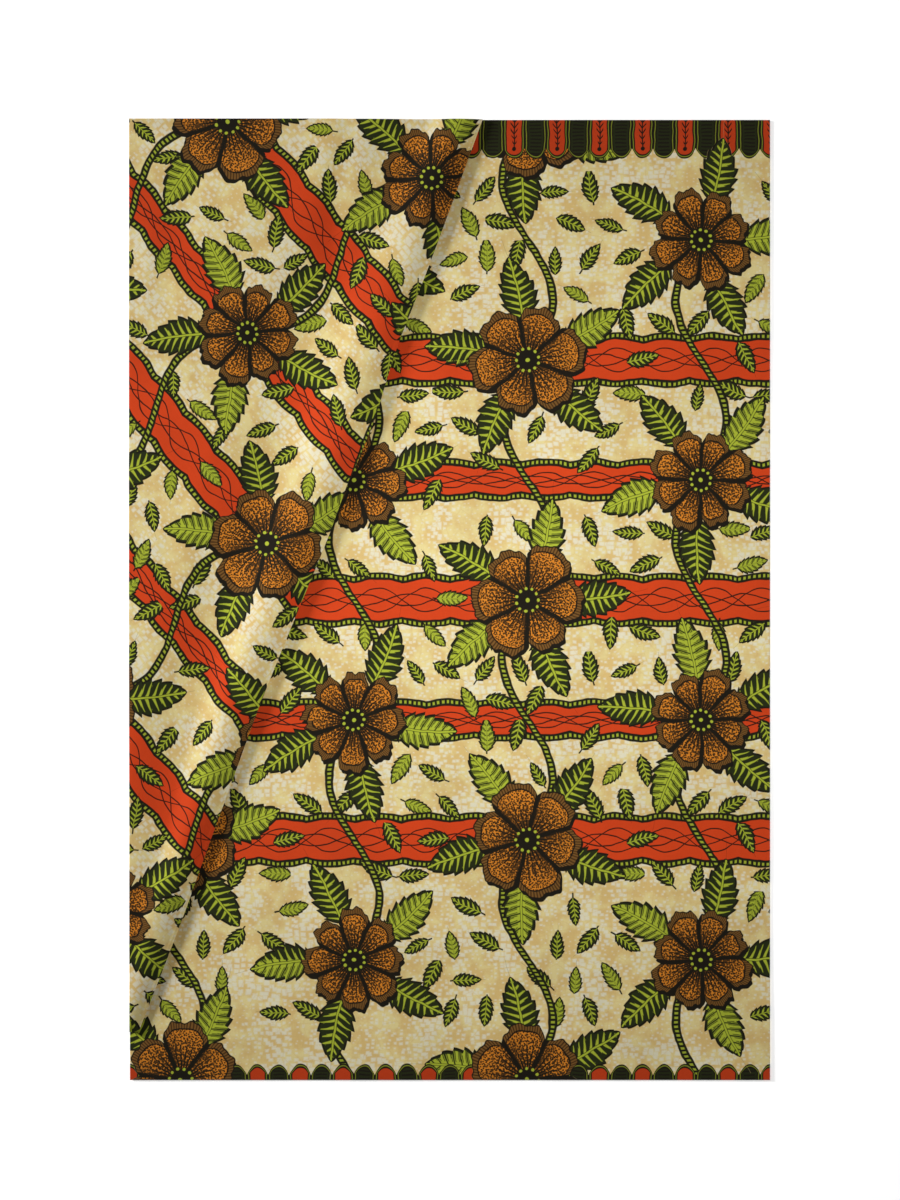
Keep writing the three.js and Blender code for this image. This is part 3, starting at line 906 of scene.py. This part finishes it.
def return_height(x, y):
    """Height of the fold-over's hidden return: on the flat cloth at the crease, on the layers inward."""
    width = fold_width(y)
    narrow = np.minimum(1, width / LAYERS_FULL_WIDTH)
    full = smooth(width, LAYERS_THIN_WIDTH, LAYERS_THICK_WIDTH)
    layers = LAYERS_THIN + (LAYERS_THICK - LAYERS_THIN) * full
    rise = smooth(in_from_crease(x, y), ROLL_REACH * narrow, (ROLL_REACH + LAYERS_RISE) * narrow)
    return PANEL_TOP + PIECE_GAP + layers * rise


def face_height(x, y):
    """The fold-over's face with its smaller creases, which die away at its edges."""
    clear = smooth(in_from_crease(x, y), *CREASE_CLEAR) * smooth(x - LEFT, *LEFT_CLEAR)
    clear = clear * smooth(y - LOWER, *TIP_CLEAR)
    detail = crease_height(FOLD_CREASES, x, y) + FACE_UNEVEN * hand(x, y, FACE_UNEVEN_SIZE, FACE_SEED)
    return fold_height(x, y) + clear * detail


def panel_height(x, y):
    """The flat cloth's face: swells and puckers right of the crease, and a slight lift at its edges."""
    below_tip = 1 - smooth(y - LOWER, *BELOW_TIP)
    clear = np.maximum(smooth(x - crease_x(y), *PANEL_CLEAR), below_tip)
    from_edge = np.minimum.reduce([RIGHT - x, y - LOWER, np.where(clear > 0, UPPER - y, np.inf)])
    rim = 1 - smooth(from_edge, 0, RIM_WIDTH)
    lift = RIM_LIFT * rim * (0.5 + hand(x, y, RIM_UNEVEN_SIZE, RIM_SEED))
    detail = swell_height(PANEL_SWELLS, x, y) + crease_height(PANEL_CREASES, x, y)
    detail = detail + PANEL_UNEVEN * hand(x, y, PANEL_UNEVEN_SIZE, PANEL_SEED)
    return PANEL_TOP + clear * (detail + np.maximum(lift, 0))


# ---- Meshes: a closed thin shell of two grids, joined round their edge by loops of points ----
def narrow_ends(shares, first, last):
    """The shares of a grid, with a narrow cell at each end whose size isn't 0.

    It keeps the edge's shading slim."""
    extra = [size for size in (first, 1 - last) if 0 < size < 1]
    return np.sort(np.concatenate([shares, extra]))


class Shell:
    """Two grids of points and the loops between their edges, each point with its flat place."""

    def __init__(self, us, vs):
        self.u, self.v = np.meshgrid(us, vs)
        rows, columns = self.u.shape
        number = np.arange(rows * columns).reshape(rows, columns)
        sides = number[0, :-1], number[:-1, -1], number[-1, :0:-1], number[:0:-1, 0]
        corners = number[:-1, :-1], number[:-1, 1:], number[1:, 1:], number[1:, :-1]
        self.edge = np.concatenate(sides)
        self.cells = np.stack(corners, -1).reshape(-1, 4)
        self.edge_u = self.u.ravel()[self.edge]
        self.edge_v = self.v.ravel()[self.edge]
        self.points, self.places, self.faces = [], [], []
        self.count = 0

    def add(self, points, places):
        first = self.count
        self.points.append(points)
        self.places.append(places)
        self.count += len(points)
        return first + np.arange(len(points))

    def band(self, upper, lower):
        """Faces between one loop of points and the next one down."""
        after = np.roll(np.arange(len(upper)), -1)
        self.faces.append(np.stack([upper, lower, lower[after], upper[after]], -1))

    def close(self, face, loops, back):
        """Each of face, loops and back is (points, places on the flat cloth)."""
        top = self.add(*face)
        self.faces.append(top[self.cells])
        ring = top[self.edge]
        for loop in loops:
            following = self.add(*loop)
            self.band(ring, following)
            ring = following
        under = self.add(*back)
        self.faces.append(under[self.cells[:, ::-1]])
        self.band(ring, under[self.edge])

    def to_object(self, name, material):
        mesh = bpy.data.meshes.new(name)
        points = np.concatenate(self.points) * MM
        faces = np.concatenate(self.faces)
        mesh.from_pydata(points.tolist(), [], faces.tolist())
        layer = mesh.uv_layers.new(name=PRINT_LAYER)
        layer.data.foreach_set("uv", (np.concatenate(self.places) * MM)[faces.ravel()].ravel())
        mesh.materials.append(material)
        mesh.shade_smooth()
        mesh.validate()
        piece = bpy.data.objects.new(name, mesh)
        bpy.context.scene.collection.objects.link(piece)
        return piece


def stacked(x, y, z):
    return np.stack(np.broadcast_arrays(x, y, z), -1).reshape(-1, 3)


def flat_place(x, y):
    return np.stack(np.broadcast_arrays(x, y), -1).reshape(-1, 2)


def fold_print_place(x, y):
    """A fold-over point's place on the flat cloth: turned about the foot of the crease, and moved up."""
    foot = np.array([LEFT, LOWER + CREASE_FOOT_UP])
    dx, dy = x - foot[0], y - foot[1]
    cosine_turn, sine_turn = math.cos(FOLD_PRINT_TURN), math.sin(FOLD_PRINT_TURN)
    return flat_place(foot[0] + dx * cosine_turn - dy * sine_turn,
                      foot[1] + FOLD_PRINT_RISE + dx * sine_turn + dy * cosine_turn)


def short_of_border(places):
    """The same places on the flat cloth, but none in its upper border, which stays behind the crease."""
    return np.minimum(places, (np.inf, UPPER - UPPER_TAB_TIP - BORDER_HELD_BACK))


def build_front_cloth(material):
    """The stretch that lies flat: a thin sheet with faint puckers and eased cut edges."""
    shares = [narrow_ends(np.linspace(0, 1, count), EDGE_CELL, EDGE_CELL) for count in FRONT_GRID]
    shell = Shell(*shares)

    def at(u, v, inset):
        x = LEFT + inset + (RIGHT - LEFT - 2 * inset) * u
        y = LOWER + inset + (UPPER - LOWER - 2 * inset) * v
        return x, y

    def surface(u, v, inset, drop):
        x, y = at(u, v, inset)
        return stacked(x, y, panel_height(x, y) - drop), flat_place(x, y)

    loops = [surface(shell.edge_u, shell.edge_v, 0.0, share * COTTON) for share in (0.3, 0.7)]
    face, back = (surface(shell.u, shell.v, EASED_EDGE, drop) for drop in (0, COTTON))
    shell.close(face, loops, back)
    return shell.to_object("front_cloth", material)


def outward_ways(u, v):
    """Which way leads out of the fold-over, for each point of its edge."""
    ways = np.zeros((len(u), 2))
    for on_side, way in ((u == 1, ACROSS_CREASE), (u == 0, (-1, 0)), (v == 1, (0, 1)), (v == 0, (0, -1))):
        ways[on_side] += way
    return ways / np.linalg.norm(ways, axis=1)[:, None]


def build_fold_cloth(material):
    """The fold-over: face, roll and hidden return as one thin sheet."""
    columns, rows = FOLD_GRID
    roll_steps, crowding = 12, 1.5
    inward = np.linspace(0, 1, columns) ** crowding
    us = narrow_ends(1 - inward[::-1], EDGE_CELL, 0)
    vs = narrow_ends(np.linspace(0, 1, rows), 0, EDGE_CELL)
    shell = Shell(us, vs)
    foot = LOWER + TIP_UP

    def roll_at(y):
        return np.minimum(ROLL_REACH, ROLL_SHARE * fold_width(y))

    def tight_roll_at(y):
        return EDGE_ROLL_SHARE * roll_at(y)

    def return_at(y):
        return np.minimum(RETURN_REACH, RETURN_SHARE * fold_width(y))

    rolls = roll_at, tight_roll_at

    def at(u, v, crease_reach, edge_reach):
        """A place on the grid. The reaches are how far it stays inside the crease and the other edges."""
        row = foot + (UPPER - foot) * v
        start, end = foot + edge_reach(foot), UPPER - edge_reach(UPPER)
        y = start + (end - start) * v
        left = LEFT + edge_reach(row)
        right = crease_x(y) - crease_reach(row) / math.cos(CREASE_LEAN)
        return left + (right - left) * u, y

    def rolled(wall, share):
        """Reaches on the roll: share is 1 where it leaves the face or the return, 0 at its outermost."""
        return [lambda y, roll=roll: wall + (roll(y) - wall) * share for roll in rolls]

    def face(drop):
        x, y = at(shell.u, shell.v, *rolls)
        height = face_height(x, y)
        # The cloth that a slope takes up shifts the print towards the crease.
        run = -np.diff(in_from_crease(x, y), axis=1)
        extra = np.hypot(run, np.diff(height, axis=1)) - np.abs(run)
        shift = np.concatenate([np.zeros((len(x), 1)), np.cumsum(extra, axis=1)], axis=1)
        flat = fold_print_place(x + shift * ACROSS_CREASE[0], y + shift * ACROSS_CREASE[1])
        return stacked(x, y, height - drop), flat

    outer = face(0)
    u, v = shell.edge_u, shell.edge_v
    face_x, face_y = at(u, v, *rolls)
    edge_height = face_height(face_x, face_y)
    low = return_height(face_x, face_y)

    def roll(turn, wall):
        x, y = at(u, v, *rolled(wall, 1 - math.sin(turn)))
        top, bottom = edge_height - wall, low + wall
        return stacked(x, y, bottom + (top - bottom) * (1 + math.cos(turn)) / 2)

    def returned(share, wall):
        reaches = [lambda y, roll=roll: roll(y) + (return_at(y) - roll(y)) * share for roll in rolls]
        x, y = at(u, v, *reaches)
        return stacked(x, y, return_height(x, y) + wall)

    turns = np.linspace(0, math.pi, roll_steps + 1)[1:]
    shares = (0.25, 0.5, 0.75, 1.0)
    outside = [roll(turn, 0) for turn in turns] + [returned(share, 0) for share in shares]
    inside = [returned(share, COTTON) for share in shares[::-1]]
    inside += [roll(turn, COTTON) for turn in turns[::-1]]
    # The print runs on round the roll, by the length of cloth it takes.
    before = outer[0][shell.edge]
    start = flat_place(face_x, face_y)
    shift = outer[1][shell.edge] - fold_print_place(face_x, face_y)
    outward = outward_ways(u, v)
    gone = np.zeros(len(u))
    places = []
    for loop in outside:
        gone = gone + np.linalg.norm(loop - before, axis=1)
        before = loop
        spot = start + outward * gone[:, None]
        places.append(short_of_border(fold_print_place(spot[:, 0], spot[:, 1]) + shift))
    points, flat = outer
    back_points, back_flat = face(COTTON)
    loops = list(zip(outside + inside, places + places[::-1]))
    shell.close((points, short_of_border(flat)), loops, (back_points, short_of_border(back_flat)))
    return shell.to_object("fold_cloth", material)


def build_tucked_cloth(material):
    """The hidden layers: one rounded solid with three folds of cloth showing at its edges."""
    layers, steps, back_set_in = 3, 6, 1.6
    shell = Shell(*(np.linspace(0, 1, count) for count in TUCKED_GRID))
    foot, top, left = LOWER + LAYERS_FOOT_UP, UPPER - LAYERS_SET_IN, LEFT + LAYERS_SET_IN
    floor = PANEL_TOP + PIECE_GAP

    def at(u, v, shown, hidden):
        y = foot + hidden + (top - shown - foot - hidden) * v
        from_crease = np.minimum(LAYERS_FROM_CREASE, LAYERS_FROM_CREASE_SHARE * fold_width(y))
        right = crease_x(y) - from_crease / math.cos(CREASE_LEAN) - hidden
        return left + shown + (right - left - shown) * u, y

    def over_face(x, y):
        return fold_height(x, y) - FOLD_WALL - LAYERS_SPARE

    def under_return(x, y):
        return return_height(x, y) - LAYERS_SPARE

    shoulder_in = RETURN_REACH + LAYERS_SHOULDER
    hidden_in = LAYERS_SHOULDER
    u, v = shell.edge_u, shell.edge_v
    face_x, face_y = at(shell.u, shell.v, shoulder_in + LAYERS_SLOPE, hidden_in + LAYERS_SLOPE)
    face = stacked(face_x, face_y, over_face(face_x, face_y)), flat_place(-face_x, face_y)
    loops = []
    for share in (1.0, 0.5, 0.1):
        x, y = at(u, v, shoulder_in * share, hidden_in * share)
        loops.append((stacked(x, y, under_return(x, y)), flat_place(-x, y)))
    for number in range(layers):
        for step in range(steps):
            turn = (step + 0.5) / steps
            x, y = at(u, v, 0.0, 0.0)
            inset = LAYER_SET_IN
            for tall, size, seed in LAYER_WAVERS:
                inset = inset + tall * hand(x, y, size, seed + number)
            inset = inset + LAYER_ROUNDING * (1 - math.sin(math.pi * turn))
            x, y = at(u, v, inset, np.maximum(inset, 0))
            share = 1 - (number + turn) / layers
            height = floor + (under_return(x, y) - floor) * share
            shift_x, shift_y = (number * step_on for step_on in LAYER_PRINT_SHIFT)
            loops.append((stacked(x, y, height), flat_place(-x + shift_x, y + shift_y)))
    back_x, back_y = at(shell.u, shell.v, back_set_in, back_set_in)
    back = stacked(back_x, back_y, floor), flat_place(-back_x, back_y)
    shell.close(face, loops, back)
    return shell.to_object("tucked_cloth", material)


# ---- Operators ----
def cloth_material(name):
    """The printed cotton of one piece. The patterns are built with the first one and shared."""
    chosen = bpy.context.scene.wax_cloth
    groups = bpy.data.node_groups
    wax_print = groups.get("Wax Print") or whole_print(build_patterns())
    weave = groups.get("Cotton Weave") or cotton_weave()
    return printed_cotton(name, wax_print, weave, chosen.colours, chosen.finish)


class WAXCLOTH_OT_front_cloth(Operator):
    """Lay the flat stretch of cloth, face up from selvedge to selvedge"""

    bl_idname = "waxcloth.front_cloth"
    bl_label = "Front Cloth"

    def execute(self, context):
        piece = build_front_cloth(cloth_material("printed_cotton_front"))
        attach(piece, "root")
        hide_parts("flat_panel")
        return {"FINISHED"}


class WAXCLOTH_OT_fold_cloth(Operator):
    """Lay the fold-over with its rolled crease, ridge, trough and crest"""

    bl_idname = "waxcloth.fold_cloth"
    bl_label = "Fold Cloth"

    def execute(self, context):
        piece = build_fold_cloth(cloth_material("printed_cotton_fold"))
        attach(piece, "root")
        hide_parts("fold_over")
        return {"FINISHED"}


class WAXCLOTH_OT_tucked_cloth(Operator):
    """Fill under the fold-over with the tucked layers, their folds showing at the edges"""

    bl_idname = "waxcloth.tucked_cloth"
    bl_label = "Tucked Cloth"

    def execute(self, context):
        piece = build_tucked_cloth(cloth_material("printed_cotton_tucked"))
        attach(piece, "root")
        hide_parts("under_folds")
        return {"FINISHED"}


def add_area_light(name, power, size, place, look_at):
    bpy.ops.object.light_add(type="AREA", location=place)
    light = bpy.context.object
    light.name = name
    light.data.energy = power
    light.data.shape = "DISK"
    light.data.size = size
    way = np.array(look_at, float) - np.array(place, float)
    light.rotation_euler = Vector(way).to_track_quat("-Z", "Y").to_euler()


def build_floor():
    """A plain pale floor just under the cloth."""
    bpy.ops.mesh.primitive_plane_add(size=FLOOR_SIZE, location=(0, 0, -FLOOR_DROP))
    floor = bpy.context.object
    floor.name = "floor"
    pale = bpy.data.materials.new("pale_floor")
    pale.use_nodes = True
    shader = next(n for n in pale.node_tree.nodes if n.type == "BSDF_PRINCIPLED")
    shader.inputs["Base Color"].default_value = (FLOOR_TONE, FLOOR_TONE, FLOOR_TONE, 1)
    shader.inputs["Roughness"].default_value = FLOOR_ROUGHNESS
    shader.inputs["Emission Color"].default_value = (1, 1, 1, 1)
    shader.inputs["Emission Strength"].default_value = FLOOR_GLOW
    floor.data.materials.append(pale)


def light_room(scene, strength):
    """The even light of the room."""
    scene.world = scene.world or bpy.data.worlds.new("room")
    scene.world.use_nodes = True
    room = scene.world.node_tree.nodes["Background"]
    room.inputs["Color"].default_value = (1, 1, 1, 1)
    room.inputs["Strength"].default_value = strength
    scene.view_settings.view_transform = "Standard"


def set_camera(scene, lens, framed_height):
    """Straight above the cloth, and so high that the picture takes in framed_height."""
    bpy.ops.object.camera_add()
    camera = bpy.context.object
    camera.data.lens = lens
    away = framed_height * lens / camera.data.sensor_width
    camera.location = (0, 0, PANEL_TOP * MM + away)
    camera.rotation_euler = (0, 0, 0)
    scene.camera = camera


class WAXCLOTH_OT_stage(Operator):
    """Set the pale floor, the soft lights and the camera straight above"""

    bl_idname = "waxcloth.stage"
    bl_label = "Stage"

    def execute(self, context):
        stage = context.scene.wax_cloth.stage
        build_floor()
        for name, power, size, place, look_at in LIGHTS:
            add_area_light(name, getattr(stage, power), size, place, look_at)
        light_room(context.scene, stage.surround)
        set_camera(context.scene, stage.lens, stage.framed_height)
        return {"FINISHED"}


class WaxClothSettings(PropertyGroup):
    """All the cloth's settings."""

    colours: PointerProperty(type=ClothColours)
    finish: PointerProperty(type=ClothFinish)
    stage: PointerProperty(type=StageSettings)


OPERATORS = (
    WAXCLOTH_OT_stage, WAXCLOTH_OT_front_cloth, WAXCLOTH_OT_tucked_cloth, WAXCLOTH_OT_fold_cloth
)


class WAXCLOTH_PT_panel(Panel):
    """The cloth's pieces and its stage"""

    bl_idname = "WAXCLOTH_PT_panel"
    bl_label = "Folded Wax Print Cloth"
    bl_space_type = "VIEW_3D"
    bl_region_type = "UI"
    bl_category = "Wax Print Cloth"

    def draw(self, context):
        chosen = context.scene.wax_cloth
        for operator in OPERATORS:
            self.layout.operator(operator.bl_idname)
        for group in (chosen.colours, chosen.finish, chosen.stage):
            box = self.layout.box()
            for key in group.__annotations__:
                box.prop(group, key)


CLASSES = (ClothColours, ClothFinish, StageSettings, WaxClothSettings, *OPERATORS, WAXCLOTH_PT_panel)


def register():
    for cls in CLASSES:
        bpy.utils.register_class(cls)
    bpy.types.Scene.wax_cloth = PointerProperty(type=WaxClothSettings)


def unregister():
    del bpy.types.Scene.wax_cloth
    for cls in reversed(CLASSES):
        bpy.utils.unregister_class(cls)


def main():
    register()
    bpy.ops.waxcloth.stage()
    bpy.ops.waxcloth.front_cloth()
    bpy.ops.waxcloth.tucked_cloth()
    bpy.ops.waxcloth.fold_cloth()


if __name__ == "__main__":
    main()
